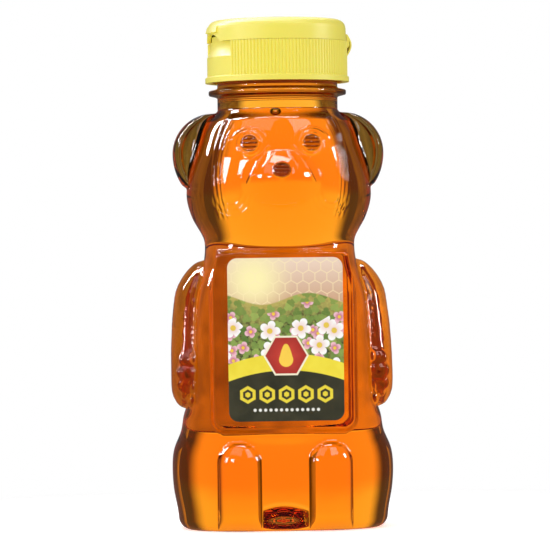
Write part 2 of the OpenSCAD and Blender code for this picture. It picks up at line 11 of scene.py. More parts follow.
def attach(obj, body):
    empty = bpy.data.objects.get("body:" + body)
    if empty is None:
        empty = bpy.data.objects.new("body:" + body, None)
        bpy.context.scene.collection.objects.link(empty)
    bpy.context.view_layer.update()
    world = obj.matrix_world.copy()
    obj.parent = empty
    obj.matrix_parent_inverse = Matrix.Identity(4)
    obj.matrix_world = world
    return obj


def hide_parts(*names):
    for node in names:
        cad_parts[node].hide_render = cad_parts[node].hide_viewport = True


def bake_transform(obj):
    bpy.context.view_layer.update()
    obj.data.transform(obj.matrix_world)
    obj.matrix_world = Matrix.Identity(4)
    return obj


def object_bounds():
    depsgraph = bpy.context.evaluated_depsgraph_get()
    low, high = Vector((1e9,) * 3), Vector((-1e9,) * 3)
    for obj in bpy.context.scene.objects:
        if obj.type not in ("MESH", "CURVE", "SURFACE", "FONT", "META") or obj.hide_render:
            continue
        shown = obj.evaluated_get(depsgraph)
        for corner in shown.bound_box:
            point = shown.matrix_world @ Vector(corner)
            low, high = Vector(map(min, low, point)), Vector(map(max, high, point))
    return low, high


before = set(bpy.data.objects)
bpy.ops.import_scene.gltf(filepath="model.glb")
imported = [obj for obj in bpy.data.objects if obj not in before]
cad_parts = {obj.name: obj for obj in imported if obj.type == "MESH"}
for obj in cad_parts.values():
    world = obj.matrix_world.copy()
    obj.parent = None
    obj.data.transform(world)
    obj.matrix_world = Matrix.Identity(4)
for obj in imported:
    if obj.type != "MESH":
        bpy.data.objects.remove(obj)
cad_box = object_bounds()

MM = 0.001
scene = bpy.context.scene

# Sizes of the CAD model that the dressed pieces follow.
BEAR_H = 120.8
RIM_Z = 138.7
DECK_Z = 140.3
SKIRT_Z = 128.7
TOP_Z = 147.4
NECK_R = 17.4
BORE_R = 15.7
FILL_Z = 130.8
CLOCK = 17.0
WALL = 0.8


# Camera: level, at the photograph's distance and angle.
def make_camera():
    data = bpy.data.cameras.new("camera")
    data.sensor_width = 36.0
    data.lens = 248.3
    cam = bpy.data.objects.new("camera", data)
    scene.collection.objects.link(cam)
    distance, height, turn, roll, aside = 1100.0, 73.0, 2.0, 0.8, -1.4
    a = math.radians(turn)
    out = Vector((-math.sin(a), -math.cos(a), 0.0))
    right = Vector((math.cos(a), -math.sin(a), 0.0))
    cam.location = (out * distance + right * aside + Vector((0, 0, height))) * MM
    look = Matrix((right, Vector((0, 0, 1)), out)).transposed()
    cam.rotation_euler = (look @ Matrix.Rotation(math.radians(-roll), 3, "Z")).to_euler()
    data.clip_start = 0.05
    data.clip_end = 30.0
    scene.camera = cam
    return cam


make_camera()


# Small helpers.
def ease(t):
    c = np.clip(t, 0.0, 1.0)
    return c * c * (3 - 2 * c)


def mix(a, b, t):
    return a + (b - a) * t


def dome(t):
    return np.sqrt(np.maximum(0.0, 1.0 - t * t))


def new_object(name, verts, faces, smooth=True):
    mesh = bpy.data.meshes.new(name)
    mesh.from_pydata([tuple(v) for v in np.asarray(verts) * MM], [], faces)
    mesh.validate()
    mesh.update()
    if smooth:
        mesh.polygons.foreach_set("use_smooth", [True] * len(mesh.polygons))
    obj = bpy.data.objects.new(name, mesh)
    scene.collection.objects.link(obj)
    return obj


def place(obj, body, material, replaces=()):
    obj.data.materials.clear()
    obj.data.materials.append(material)
    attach(obj, body)
    if replaces:
        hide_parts(*replaces)
    return obj


# The bear's skin, from the same sections and bumps as the CAD model, on a finer grid.
HIP_Z, WAIST_Z, BELLY_Z, COLLAR_Z, CHEEK_Z, TEMPLE_Z = 18.0, 32.6, 53.0, 81.0, 96.0, 110.6
HIP_W, WAIST_W, BELLY_W, COLLAR_W, CHEEK_W, TEMPLE_W = 64.0, 56.8, 52.0, 43.2, 53.4, 47.0
HIP_D, BELLY_D, COLLAR_D, CHEEK_D = 46.0, 45.0, 41.0, 46.0
PANEL_W, PANEL_Z0, PANEL_Z1, PANEL_D, PANEL_R, PANEL_EDGE = 42.2, 28.0, 80.4, 47.0, 4.2, 1.3
EAR_R, EAR_X, EAR_Z, EAR_T, EAR_DISH, EAR_Y, EAR_EDGE = 11.7, 18.9, 108.3, 11.0, 1.4, 1.0, 2.0
ARM_OUT, ARM_T, FINGER = 6.0, 19.0, 3.9
LEG_OUT, LEG_W, LEG_GAP = 3.4, 12.6, 26.0
MUZZLE_OUT, MUZZLE_W, MUZZLE_Z = 4.8, 23.0, TEMPLE_Z - 10.4
EYE_X = 8.9
NOSE_Z = MUZZLE_Z + 2.6
LABEL_GAP = 0.02
HEEL_R, DOME_H, DOME_D, RECESS = 3.2, 7.6, 21.0, 0.6
OUTER_X = cad_box[1][0] / MM - 0.02

STATIONS = [
    (0, HIP_W / 2 - 2.1, HIP_D / 2 - 1.1, 2.9),
    (HEEL_R + 2, HIP_W / 2 - 1.6, HIP_D / 2 - 0.5, 3),
    (HIP_Z - 6, HIP_W / 2 - 0.4, HIP_D / 2, 3),
    (HIP_Z, HIP_W / 2, HIP_D / 2, 3),
    (HIP_Z + 5, HIP_W / 2 - 0.7, HIP_D / 2 - 0.5, 3),
    (WAIST_Z - 4.5, mix(HIP_W, WAIST_W, 0.76) / 2, mix(HIP_D, BELLY_D, 0.6) / 2, 3),
    (WAIST_Z, WAIST_W / 2, BELLY_D / 2, 3.6),
    (WAIST_Z + 5, BELLY_W / 2 + 0.9, BELLY_D / 2, 4),
    (BELLY_Z, BELLY_W / 2, BELLY_D / 2, 4.2),
    (BELLY_Z + 14, BELLY_W / 2 - 1.4, BELLY_D / 2 - 0.2, 3.8),
    (COLLAR_Z - 5, COLLAR_W / 2 + 0.6, COLLAR_D / 2 + 0.9, 3.1),
    (COLLAR_Z, COLLAR_W / 2, COLLAR_D / 2, 2.7),
    (COLLAR_Z + 3, COLLAR_W / 2 + 0.4, COLLAR_D / 2 + 0.6, 2.4),
    (CHEEK_Z - 6, CHEEK_W / 2 - 1.5, CHEEK_D / 2 - 0.7, 2.2),
    (CHEEK_Z, CHEEK_W / 2, CHEEK_D / 2, 2.15),
    (CHEEK_Z + 7, CHEEK_W / 2 - 0.9, CHEEK_D / 2 - 0.2, 2.1),
    (TEMPLE_Z, TEMPLE_W / 2, CHEEK_D / 2 - 1.4, 2.1),
    (BEAR_H - 3.6, TEMPLE_W / 2 - 2.4, CHEEK_D / 2 - 3, 2.05),
    (BEAR_H - 1.4, NECK_R + 1.1, NECK_R + 0.9, 2),
    (BEAR_H, NECK_R - 0.05, NECK_R - 0.05, 2),
]


def slope_at(i, k):
    low, high = max(i - 1, 0), min(i + 1, len(STATIONS) - 1)
    return (STATIONS[high][k] - STATIONS[low][k]) / (STATIONS[high][0] - STATIONS[low][0])


def station(z, k):
    i = max(0, min(len(STATIONS) - 2, sum(s[0] <= z for s in STATIONS) - 1))
    low, high = STATIONS[i], STATIONS[i + 1]
    h = high[0] - low[0]
    t = min(1.0, max(0.0, (z - low[0]) / h))
    return (
        low[k] * (1 + 2 * t) * (1 - t) ** 2
        + slope_at(i, k) * h * t * (1 - t) ** 2
        + high[k] * t * t * (3 - 2 * t)
        + slope_at(i + 1, k) * h * t * t * (t - 1)
    )


def off_line(u, v, a, b):
    ab = (b[0] - a[0], b[1] - a[1])
    t = np.clip(((u - a[0]) * ab[0] + (v - a[1]) * ab[1]) / (ab[0] ** 2 + ab[1] ** 2), 0, 1)
    return np.hypot(u - a[0] - t * ab[0], v - a[1] - t * ab[1])


def heel_in(z):
    return HEEL_R * (1 - float(dome(1 - z / HEEL_R))) if z < HEEL_R else 0.0


def draw(z, inset):
    return heel_in(z) + inset + (0.6 * float(ease((z - BEAR_H + 5) / 5)) if inset > 0 else 0.0)


def panel_distance(x, z, inset=0.0):
    mid = (PANEL_Z0 + PANEL_Z1) / 2
    dx = np.abs(x) - PANEL_W / 2 + inset + PANEL_R
    dz = abs(z - mid) - (PANEL_Z1 - PANEL_Z0) / 2 + inset + PANEL_R
    return np.hypot(np.maximum(dx, 0), max(dz, 0)) + np.minimum(np.maximum(dx, dz), 0) - PANEL_R


def arm(y, z, inset):
    r = ARM_T / 2 - inset * 2
    shoulder = (1.0, COLLAR_Z - 3.5 - ARM_T / 2)
    paw = (-5.0, WAIST_Z + 2.4 + ARM_T / 2)
    lobe = (ARM_OUT - inset) * dome(np.clip(off_line(y, z, shoulder, paw) / r, 0, 1))
    if inset > 0:
        return lobe
    tips = np.min([np.hypot(y - paw[0] + r - 1.5, z - paw[1] + 1 + i * FINGER) for i in (-1.5, -0.5, 0.5, 1.5)], axis=0)
    return lobe + 1.6 * dome(np.clip(tips / (FINGER * 0.55), 0, 1))


def leg(x, z, inset):
    r = LEG_W / 2 - inset
    d = off_line(np.abs(x), z, (LEG_GAP / 2, 0.0), (LEG_GAP / 2, HIP_Z + 1.2 - 2 * inset))
    return (LEG_OUT - inset) * dome(np.clip(d / r, 0, 1)) * ease((z + 1) / (HEEL_R + 2))


def muzzle(x, z, inset):
    m = np.hypot(x / (MUZZLE_W / 2 - 1.6 * inset), (z - MUZZLE_Z) / (MUZZLE_W * 0.37 - 1.6 * inset))
    return (MUZZLE_OUT - 0.7 * inset) * np.clip(1 - m * m, 0, 1) ** 1.15


def ridge(d, width):
    return ease(1 - np.abs(d) / width)


def steps(z, period):
    """A row of small steps, each one leaning outward as it goes down."""
    t = (z / period) % 1.0
    return np.minimum(1 - t, t / 0.15)


# Fine relief of the front: ridged pupils in their rings, brows, nose, creases and the lines round the face.
def face_relief(x, z):
    ax = np.abs(x)
    eye = np.hypot(ax - EYE_X, z - TEMPLE_Z)
    ring = 0.3 * ridge(eye - 3.3, 0.5)
    pupil = (0.3 + 1.25 * steps(z - TEMPLE_Z + 0.12 * np.sin(2.6 * x), 1.15)) * ease((2.55 - eye) / 0.4)
    brow_up = ease((z - TEMPLE_Z - 1.2) / 1.5)
    brow = 0.4 * ridge(np.hypot(ax - EYE_X, z - TEMPLE_Z + 1.0) - 5.4, 0.45) * brow_up
    nose_at = np.hypot(x / 2.7, (z - NOSE_Z) / 2.4)
    nose_rows = steps(z - NOSE_Z + 0.1 * np.sin(2 * x), 1.0)
    nose = 0.6 * dome(np.clip(nose_at, 0, 1)) + 1.15 * nose_rows * ease((1.02 - nose_at) / 0.15)
    lip = -0.4 * ridge(x, 0.5) * ease((NOSE_Z - 2.6 - z) / 0.6) * ease((z - NOSE_Z + 5.4) / 0.8)
    bridge = [((3.4, 109.6), (6.6, 105.4)), ((6.6, 105.4), (9.6, 99.4)), ((2.2, 108.0), (5.2, 103.6))]
    crease = sum(0.42 * ridge(off_line(ax, z, a, b), 0.4) for a, b in bridge)
    round_face = np.hypot(ax / 19.3, (z - 101.0) / 27.0) * 19.3 - 19.3
    lines = sum(0.34 * ridge(round_face + off, 0.5) for off in (0.0, 1.2, 2.2))
    lines = lines * ease((ax - 12.5) / 2.0) * ease((z - 88.5) / 2.0)
    swirl = np.hypot(ax - 14.2, z - 95.5)
    swirls = sum(0.36 * ridge(swirl - r, 0.45) for r in (2.6, 4.2, 5.6)) * ease((96.5 - z) / 2.5)
    return ring + pupil + brow + nose + lip + crease + lines + swirls * ease((z - 87.0) / 2.0)


def half_depth(x, z, inset):
    a = station(z, 1) - draw(z, inset)
    d = station(z, 2) - draw(z, inset)
    n = station(z, 3)
    return d * np.maximum(0, 1 - (np.abs(x) / a) ** n) ** (1 / n)


def front_y(x, z, inset=0.0):
    mask = ease(-panel_distance(x, z, inset) / PANEL_EDGE)
    y = -mix(half_depth(x, z, inset), PANEL_D / 2 - LABEL_GAP - inset, mask) - leg(x, z, inset) - muzzle(x, z, inset)
    if inset == 0 and z > COLLAR_Z + 2:
        y = y - face_relief(x, z)
    return y


def back_y(x, z, inset):
    mask = ease(-panel_distance(x, z, inset) / PANEL_EDGE)
    return mix(half_depth(x, z, inset), PANEL_D / 2 - inset, mask)


def ear_reach(z, inset):
    r = EAR_R - 1.2 * inset
    t = (z - EAR_Z) / (r if z > EAR_Z else 1.2 * r)
    return EAR_X + r * float(dome(min(1.0, abs(t))))


def edge_x(z, inset):
    return min(PANEL_W / 2 - inset, 0.86 * (station(z, 1) - draw(z, inset)))


def super_point(a, d, n, phi, face):
    return a * np.sin(phi) ** (2 / n), face * d * np.abs(np.cos(phi)) ** (2 / n)


# Points round the side, from the panel's edge to the outermost point, with the ear and the arm.
def side_points(f, face, z, inset):
    a = station(z, 1) - draw(z, inset)
    d = station(z, 2) - draw(z, inset)
    n = station(z, 3)
    phi_edge = math.asin((edge_x(z, inset) / a) ** (n / 2))
    half_pi = math.pi / 2
    x, y = super_point(a, d, n, mix(phi_edge, half_pi, f), face)
    eared = ease((ear_reach(z, 0) - station(z, 1)) / 1.5) if z < EAR_Z + EAR_R else 0.0
    if eared > 0:
        reach = ear_reach(z, inset)
        thick = mix(0.6, 1, float(dome(min(1.0, abs(z - EAR_Z) / EAR_R))))
        half = EAR_T / 2 * thick - inset - (EAR_DISH if face < 0 and inset > 0 else 0)
        root = half + face * EAR_Y
        phi_root = math.acos(min(1.0, max(0.0, root / d)) ** (n / 2))
        x_root = a * math.sin(phi_root) ** (2 / n)
        hx, hy = super_point(a, d, n, mix(phi_edge, phi_root, np.minimum(f / 0.4, 1)), face)
        u = np.clip((f - 0.4) / 0.4, 0, 1)
        hollow = EAR_DISH * np.sin(math.pi * u) ** 0.7 if face < 0 and inset == 0 else 0 * u
        turn = half_pi * np.clip((f - 0.8) / 0.2, 0, 1)
        fx = np.where(f <= 0.8, mix(x_root, reach - EAR_EDGE, u), reach - EAR_EDGE + EAR_EDGE * np.sin(turn))
        fy = np.where(f <= 0.8, face * (root - hollow), EAR_Y + face * half * np.cos(turn))
        ex = np.where(f <= 0.4, hx, fx)
        ey = np.where(f <= 0.4, hy, fy)
        x, y = mix(x, ex, eared), mix(y, ey, eared)
    limb = arm(y, z, inset) * ease((x / a - 0.6) / 0.25)
    if inset == 0:
        limb = limb + fur(y, z) * ease(limb / 2.0)
    r = np.hypot(x, y)
    return soft_limit(x + limb * x / r, OUTER_X), y + 0.6 * limb * y / r


def soft_limit(x, most, k=0.2):
    """x, bent smoothly so that it stays below most."""
    return -k * np.logaddexp(-x / k, -most / k)


# Short tufts of fur moulded on the arms: leaning rows of small bumps.
def fur(y, z):
    row = z * 0.62 + y * 0.25
    wave = np.sin(2 * math.pi * (y * 0.36 + 0.35 * np.sin(row * 2.1))) * np.sin(2 * math.pi * row * 0.5)
    return 0.06 * np.maximum(wave, -0.2)


# One ring of the skin, counter-clockwise seen from above.
def ring(z, inset, grid, lift=0.0):
    front, back, round_front, round_back = grid
    e = edge_x(z, inset)
    xf = np.append(np.linspace(0, e - PANEL_EDGE, front), np.linspace(e - PANEL_EDGE, e, 6)[1:])
    xb = np.append(np.linspace(0, e - PANEL_EDGE, back), np.linspace(e - PANEL_EDGE, e, 6)[1:])
    yf = front_y(xf, z, inset)
    yb = back_y(xb, z, inset)
    sf = side_points(np.linspace(0, 1, round_front + 1)[1:], -1, z, inset)
    sb = side_points(np.linspace(0, 1, round_back + 1)[1:], 1, z, inset)
    fx, fy = np.append(xf, sf[0]), np.append(yf, sf[1])
    bx, by = np.append(xb, sb[0]), np.append(yb, sb[1])
    xs = np.concatenate([fx[:-1], bx[:0:-1], -bx[:-1], -fx[:0:-1]])
    ys = np.concatenate([fy[:-1], by[:0:-1], by[:-1], fy[:0:-1]])
    return np.stack([xs, ys, np.full(len(xs), max(z, lift))], axis=1)


def levels(inset, fine):
    edge0, edge1 = PANEL_Z0 + inset, PANEL_Z1 - inset
    spans = [
        (HEEL_R, edge0, 0.7 / fine),
        (edge0, edge0 + PANEL_EDGE, 0.22 / fine),
        (edge0 + PANEL_EDGE, edge1 - PANEL_EDGE, 0.5 / fine),
        (edge1 - PANEL_EDGE, edge1, 0.22 / fine),
        (edge1, NOSE_Z - 3.2, 0.33 / fine),
        (NOSE_Z - 3.2, NOSE_Z + 3.2, 0.12 / fine),
        (NOSE_Z + 3.2, TEMPLE_Z - 3.4, 0.3 / fine),
        (TEMPLE_Z - 3.4, TEMPLE_Z + 3.4, 0.11 / fine),
        (TEMPLE_Z + 3.4, BEAR_H, 0.25 / fine),
    ]
    heel = [HEEL_R * (1 - math.sin(math.radians(a))) for a in np.arange(90, 0, -6 / fine)]
    out = list(heel)
    for low, high, step in spans:
        out += list(np.linspace(low, high, max(2, round((high - low) / step)))[:-1])
    return out + [BEAR_H]


def round_ring(edge, r, z):
    s = r / np.hypot(edge[:, 0], edge[:, 1])
    return np.stack([edge[:, 0] * s, edge[:, 1] * s, np.full(len(edge), z)], axis=1)


def share_ring(edge, s, z):
    return np.stack([edge[:, 0] * s, edge[:, 1] * s, np.full(len(edge), z)], axis=1)


# The underside from its middle out: push-up dome, shallow recess and standing edge.
def under(inset, grid):
    edge = ring(0.0, inset, grid)
    r = DOME_D / 2 + inset
    rings = [
        round_ring(edge, r * math.cos(math.radians(a)), RECESS + inset + (DOME_H - RECESS) * math.sin(math.radians(a)))
        for a in range(84, -1, -6)
    ]
    rings += [share_ring(edge, s, RECESS + inset) for s in (0.6, 0.75, 0.82)]
    return rings + [share_ring(edge, 0.88, inset), share_ring(edge, 0.94, inset)]


def skin(inset, grid, fine):
    return under(inset, grid) + [ring(z, inset, grid, inset) for z in levels(inset, fine)]


# A closed mesh from rings of equal counts, with a point at each end.
def lofted(name, rings, first, last):
    n, m = len(rings[0]), len(rings)
    verts = np.concatenate(list(rings) + [np.array([first, last], dtype=float)])
    faces = []
    for i in range(m - 1):
        for j in range(n):
            k = (j + 1) % n
            faces.append((i * n + j, i * n + k, (i + 1) * n + k, (i + 1) * n + j))
    for j in range(n):
        k = (j + 1) % n
        faces.append((n * m, k, j))
        faces.append(((m - 1) * n + j, (m - 1) * n + k, n * m + 1))
    return new_object(name, verts, faces)


# Materials.
def node_material(name):
    mat = bpy.data.materials.new(name)
    mat.use_nodes = True
    tree = mat.node_tree
    shader = tree.nodes["Principled BSDF"]
    return mat, tree, shader


def add(tree, kind, **values):
    node = tree.nodes.new(kind)
    for key, value in values.items():
        if key in node.inputs:
            node.inputs[key].default_value = value
        else:
            setattr(node, key, value)
    return node


def link_or_set(tree, value, socket):
    if isinstance(value, (int, float)):
        socket.default_value = value
    else:
        tree.links.new(value, socket)


def math_node(tree, operation, *values):
    node = add(tree, "ShaderNodeMath", operation=operation)
    for value, socket in zip(values, node.inputs):
        link_or_set(tree, value, socket)
    return node.outputs[0]


def ranged(tree, value, low, high, to_low, to_high, kind="LINEAR"):
    node = add(tree, "ShaderNodeMapRange", interpolation_type=kind)
    link_or_set(tree, value, node.inputs["Value"])
    for socket, number in zip(("From Min", "From Max", "To Min", "To Max"), (low, high, to_low, to_high)):
        node.inputs[socket].default_value = number
    return node.outputs["Result"]


def blend_value(tree, share, a, b):
    node = add(tree, "ShaderNodeMix", data_type="FLOAT")
    for value, socket in zip((share, a, b), (node.inputs[0], node.inputs[2], node.inputs[3])):
        link_or_set(tree, value, socket)
    return node.outputs[0]


def noise(tree, scale, detail=3.0, rough=0.5):
    place_node = add(tree, "ShaderNodeTexCoord")
    node = add(tree, "ShaderNodeTexNoise", Scale=scale, Detail=detail, Roughness=rough)
    tree.links.new(place_node.outputs["Object"], node.inputs["Vector"])
    return node


# Painted shade: dark brown colours laid on the clear plastic of the nose and the pupils, standing in for the dark that
# refraction gives there.
NOSE_PAINTED_SHADE = (0.07, 0.025, 0.015)
PUPIL_PAINTED_SHADE = (0.10, 0.035, 0.02)


def clear_material():
    mat, tree, shader = node_material("clear_bottle")
    shader.inputs["Transmission Weight"].default_value = 1.0
    shader.inputs["IOR"].default_value = 1.47
    where = add(tree, "ShaderNodeTexCoord")
    parts = add(tree, "ShaderNodeSeparateXYZ")
    tree.links.new(where.outputs["Object"], parts.inputs[0])
    # Painted shade on the front of the nose, and on the pupils in ridged rows, over the bottle's own faint tint.
    across = math_node(tree, "ABSOLUTE", parts.outputs["X"])
    in_front = math_node(tree, "LESS_THAN", parts.outputs["Y"], -15 * MM)
    wave = math_node(tree, "SINE", math_node(tree, "MULTIPLY", parts.outputs["Z"], math.tau / (1.15 * MM)))
    rows = math_node(tree, "MULTIPLY", in_front, ranged(tree, wave, -0.5, 0.5, 0.35, 1.0))
    tint = (1.0, 0.99, 0.96)
    for x, z, half_w, half_h, colour, shade in (
        (0.0, NOSE_Z, 2.7, 2.4, NOSE_PAINTED_SHADE, in_front),
        (EYE_X, TEMPLE_Z, 2.5, 2.5, PUPIL_PAINTED_SHADE, rows),
    ):
        oval = add(tree, "ShaderNodeCombineXYZ")
        tree.links.new(math_node(tree, "MULTIPLY_ADD", across, 1 / (half_w * MM), -x / half_w), oval.inputs[0])
        tree.links.new(math_node(tree, "MULTIPLY_ADD", parts.outputs["Z"], 1 / (half_h * MM), -z / half_h), oval.inputs[1])
        reach = add(tree, "ShaderNodeVectorMath", operation="LENGTH")
        tree.links.new(oval.outputs[0], reach.inputs[0])
        on_shaded_oval = ranged(tree, reach.outputs["Value"], 0.8, 1.05, 1, 0, "SMOOTHSTEP")
        tint = layered(tree, tint, math_node(tree, "MULTIPLY", on_shaded_oval, shade), colour)
    tree.links.new(tint, shader.inputs["Base Color"])
    waves = noise(tree, 60, 2)
    rough = add(tree, "ShaderNodeMapRange")
    rough.inputs["To Min"].default_value = 0.0
    rough.inputs["To Max"].default_value = 0.03
    tree.links.new(waves.outputs["Fac"], rough.inputs["Value"])
    tree.links.new(rough.outputs["Result"], shader.inputs["Roughness"])
    bump = add(tree, "ShaderNodeBump", Strength=0.12, Distance=0.0006)
    ripple = noise(tree, 110, 2)
    tree.links.new(ripple.outputs["Fac"], bump.inputs["Height"])
    tree.links.new(bump.outputs["Normal"], shader.inputs["Normal"])
    return mat


HONEY_TINT = (0.985, 0.75, 0.03, 1)
HONEY_DENSITY = 118.0


def honey_material():
    mat, tree, shader = node_material("honey")
    shader.inputs["Base Color"].default_value = (1.0, 0.97, 0.9, 1)
    shader.inputs["Transmission Weight"].default_value = 1.0
    shader.inputs["IOR"].default_value = 1.0
    shader.inputs["Roughness"].default_value = 0.0
    absorb = add(tree, "ShaderNodeVolumeAbsorption", Color=HONEY_TINT, Density=HONEY_DENSITY)
    tree.links.new(absorb.outputs["Volume"], tree.nodes["Material Output"].inputs["Volume"])
    return mat


def plastic_material():
    mat, tree, shader = node_material("cap_plastic")
    shade = noise(tree, 90, 3)
    ramp = add(tree, "ShaderNodeMix", data_type="RGBA")
    ramp.inputs[6].default_value = (0.93, 0.80, 0.09, 1)
    ramp.inputs[7].default_value = (0.96, 0.84, 0.12, 1)
    tree.links.new(shade.outputs["Fac"], ramp.inputs[0])
    tree.links.new(ramp.outputs[2], shader.inputs["Base Color"])
    rough = add(tree, "ShaderNodeMapRange")
    rough.inputs["To Min"].default_value = 0.36
    rough.inputs["To Max"].default_value = 0.5
    fine = noise(tree, 1400, 3)
    tree.links.new(fine.outputs["Fac"], rough.inputs["Value"])
    tree.links.new(rough.outputs["Result"], shader.inputs["Roughness"])
    shader.inputs["Subsurface Weight"].default_value = 0.25
    shader.inputs["Subsurface Radius"].default_value = (0.002, 0.0014, 0.0004)
    bump = add(tree, "ShaderNodeBump", Strength=0.15, Distance=0.00012)
    tree.links.new(fine.outputs["Fac"], bump.inputs["Height"])
    tree.links.new(bump.outputs["Normal"], shader.inputs["Normal"])
    return mat


# Label artwork: a generic meadow of clover under a honeycomb sky, a ribbon, a hexagon emblem and a dark foot.
LABEL_X, LABEL_Z, LABEL_W, LABEL_H = 0.6, 54.7, 32.8, 46.4


def layered(tree, base, share, colour):
    """The base colour with another colour laid over it where share is 1."""
    node = add(tree, "ShaderNodeMix", data_type="RGBA")
    link_or_set(tree, share, node.inputs[0])
    for value, socket in ((base, node.inputs[6]), (colour, node.inputs[7])):
        if isinstance(value, tuple):
            socket.default_value = (*value, 1)
        else:
            tree.links.new(value, socket)
    return node.outputs[2]


def inside(tree, distance, size, soft=0.12):
    return ranged(tree, distance, size - soft, size + soft, 1, 0, "SMOOTHSTEP")


def hexagon(tree, u, v):
    """Distance from a hexagon's middle to its outline, measured across the flats."""
    au = math_node(tree, "ABSOLUTE", u)
    av = math_node(tree, "ABSOLUTE", v)
    slant = math_node(tree, "MULTIPLY_ADD", au, 0.5, math_node(tree, "MULTIPLY", av, 0.866))
    return math_node(tree, "MAXIMUM", au, slant)


def repeated(tree, value, period, shift=0.0):
    """The value's place within its period, from the middle of each one."""
    turned = math_node(tree, "WRAP", math_node(tree, "ADD", value, shift), period / 2, -period / 2)
    return turned


def honeycomb(tree, u, v, cell):
    """Distance to the middle of the nearest cell of a honeycomb."""
    near = []
    for shift in (0.0, 0.5):
        a = repeated(tree, u, cell, shift * cell)
        b = repeated(tree, v, cell * 1.732, shift * cell * 1.732)
        near.append(hexagon(tree, a, b))
    return math_node(tree, "MINIMUM", *near)


def scattered(tree, where, apart, size, lobes, spread=0.75):
    """Lobed shapes scattered over the meadow: their share, the distance from their middles and their chance."""
    cell = add(tree, "ShaderNodeTexVoronoi", voronoi_dimensions="2D", Scale=1 / apart, Randomness=spread)
    tree.links.new(where, cell.inputs["Vector"])
    arm_to = add(tree, "ShaderNodeVectorMath", operation="SUBTRACT")
    tree.links.new(where, arm_to.inputs[0])
    tree.links.new(cell.outputs["Position"], arm_to.inputs[1])
    parts = add(tree, "ShaderNodeSeparateXYZ")
    tree.links.new(arm_to.outputs[0], parts.inputs[0])
    reach = math_node(tree, "SQRT", math_node(
        tree, "ADD",
        math_node(tree, "POWER", math_node(tree, "ABSOLUTE", parts.outputs["X"]), 2.0),
        math_node(tree, "POWER", math_node(tree, "ABSOLUTE", parts.outputs["Y"]), 2.0),
    ))
    angle = math_node(tree, "ARCTAN2", parts.outputs["Y"], parts.outputs["X"])
    chance = add(tree, "ShaderNodeSeparateColor")
    tree.links.new(cell.outputs["Color"], chance.inputs[0])
    turned = math_node(tree, "MULTIPLY_ADD", chance.outputs[0], 6.0, angle)
    lobe = math_node(tree, "ABSOLUTE", math_node(tree, "COSINE", math_node(tree, "MULTIPLY", turned, lobes / 2)))
    lobe = math_node(tree, "POWER", lobe, 0.6)
    edge = math_node(tree, "MULTIPLY_ADD", lobe, size * 0.5, size * 0.5)
    share = ranged(tree, math_node(tree, "SUBTRACT", reach, edge), -0.12, 0.12, 1, 0, "SMOOTHSTEP")
    return share, reach, chance.outputs[1]


